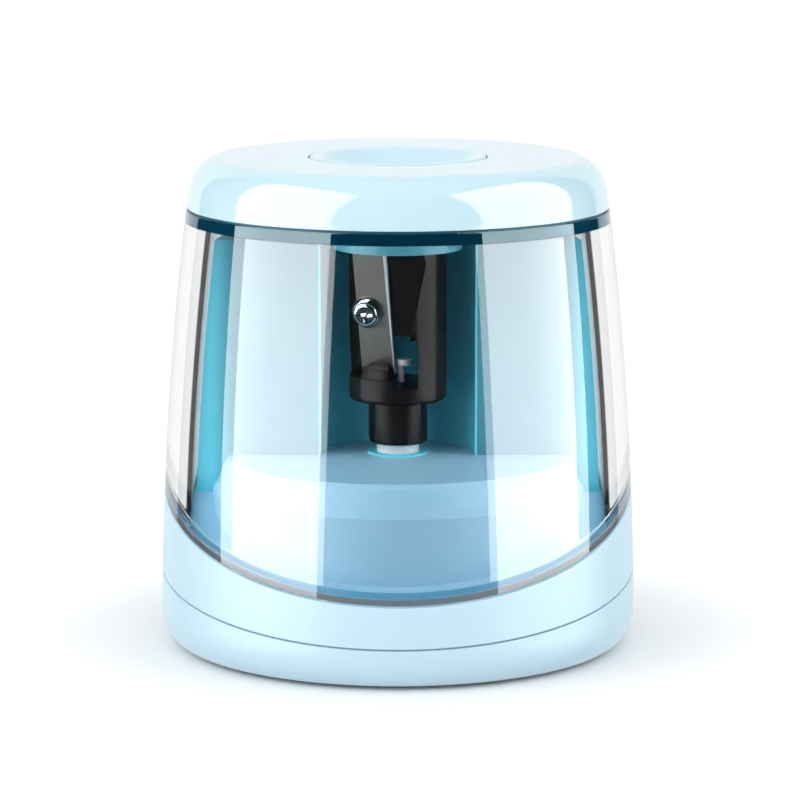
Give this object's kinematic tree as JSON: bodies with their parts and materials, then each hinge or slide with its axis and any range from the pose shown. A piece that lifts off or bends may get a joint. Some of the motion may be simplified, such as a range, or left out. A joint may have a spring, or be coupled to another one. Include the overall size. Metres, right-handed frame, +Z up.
{
  "type": "electric pencil sharpener",
  "caption": "Round battery pencil sharpener with lift-off clear shavings bin, top pencil hole, spinning conical cutter, geared motor and hinged battery door.",
  "frame": {"origin": "on the table plane, under the cutter's axis", "axes": "+Z up along the cutter's axis, -Y towards the front, X to the side"},
  "size_m": [0.0922, 0.0922, 0.095],
  "materials": {
    "lid_plastic": "glossy pale blue",
    "housing_plastic": "satin pale blue",
    "clear_plastic": "clear tinted polystyrene",
    "inner_plastic": "satin blue",
    "black_plastic": "satin black",
    "white_plastic": "natural acetal",
    "steel": "ground",
    "plated_steel": "bright plated",
    "spring_steel": "drawn wire",
    "brass_gear": "machined",
    "rubber": "matt",
    "motor_steel": "zinc plated",
    "cell_wrap": "printed film over steel",
    "board": "solder resist"
  },
  "bodies": {
    "base": {"base_housing": "housing_plastic", "tower_shell": "inner_plastic", "bottom_tray": "housing_plastic", "door_hinge_pin": "steel", "rubber_feet": "rubber", "tray_screws": "plated_steel", "battery_cells": "cell_wrap", "cell_contacts": "spring_steel", "contact_carrier": "black_plastic", "motor_can": "motor_steel", "motor_cap": "black_plastic", "motor_terminals": "brass_gear", "motor_screws": "plated_steel", "idler_pin": "steel", "gearbox_base": "black_plastic", "gearbox_plate": "black_plastic", "gearbox_screws": "plated_steel", "drive_bush": "inner_plastic", "start_switch": "black_plastic", "start_spring": "spring_steel", "interlock_switch": "black_plastic", "circuit_board": "board", "board_components": "black_plastic"},
    "cover": {"lid_cap": "lid_plastic", "pencil_guide": "lid_plastic", "guide_collar": "inner_plastic", "shavings_bin": "clear_plastic"},
    "door": {"battery_door": "housing_plastic", "door_contacts": "spring_steel", "cell_springs": "spring_steel"},
    "rotor": {"motor_shaft": "steel", "motor_pinion": "brass_gear"},
    "idler": {"idler_gear": "white_plastic"},
    "output": {"output_gear": "white_plastic"},
    "cutter": {"drive_spindle": "white_plastic", "spindle_clip": "spring_steel", "cutter_holder": "black_plastic", "cutter_hub": "black_plastic", "cutter_blade": "steel", "blade_screw": "plated_steel", "tip_pin_spring": "spring_steel"},
    "pin": {"tip_pin": "white_plastic"},
    "start": {"start_plunger": "white_plastic"},
    "interlock": {"interlock_plunger": "white_plastic"}
  },
  "joints": [
    {"name": "cover_lift", "type": "slide", "parent": "base", "child": "cover", "axis": [0, 0, 1], "range_m": [0, 0.085]},
    {"name": "battery_door_hinge", "type": "hinge", "parent": "base", "child": "door", "pos_m": [0, -0.004, 0.0021], "axis": [-1, 0, 0], "range_deg": [0, 95]},
    {"name": "cutter_spin", "type": "hinge", "parent": "base", "child": "output", "pos_m": [0, 0, 0.0225], "axis": [0, 0, 1], "continuous": true},
    {"name": "idler_spin", "type": "hinge", "parent": "base", "child": "idler", "pos_m": [0, 0.0135, 0.025], "axis": [0, 0, 1], "continuous": true},
    {"name": "motor_spin", "type": "hinge", "parent": "base", "child": "rotor", "pos_m": [0, 0.02525, 0.03], "axis": [0, 0, 1], "continuous": true},
    {"name": "cutter_press", "type": "slide", "parent": "output", "child": "cutter", "axis": [0, 0, -1], "range_m": [0, 0.0015], "stiffness_N_per_m": 1000, "springref_m": -0.0006},
    {"name": "tip_pin_press", "type": "slide", "parent": "cutter", "child": "pin", "axis": [0, 0, -1], "range_m": [0, 0.002], "stiffness_N_per_m": 150, "springref_m": -0.001, "deforming": ["tip_pin_spring"]},
    {"name": "start_press", "type": "slide", "parent": "base", "child": "start", "axis": [0, 0, -1], "range_m": [0, 0.0015], "deforming": ["start_spring"]},
    {"name": "interlock_press", "type": "slide", "parent": "base", "child": "interlock", "axis": [0, 0, 1], "range_m": [0, 0.0017]}
  ],
  "couplings": [
    {"joint": "idler_spin", "follows": "cutter_spin", "ratio": -4.4},
    {"joint": "motor_spin", "follows": "cutter_spin", "ratio": 16.28},
    {"joint": "start_press", "follows": "cutter_press", "ratio": 1},
    {"joint": "interlock_press", "follows": "cover_lift", "ratio": 0.02}
  ]
}
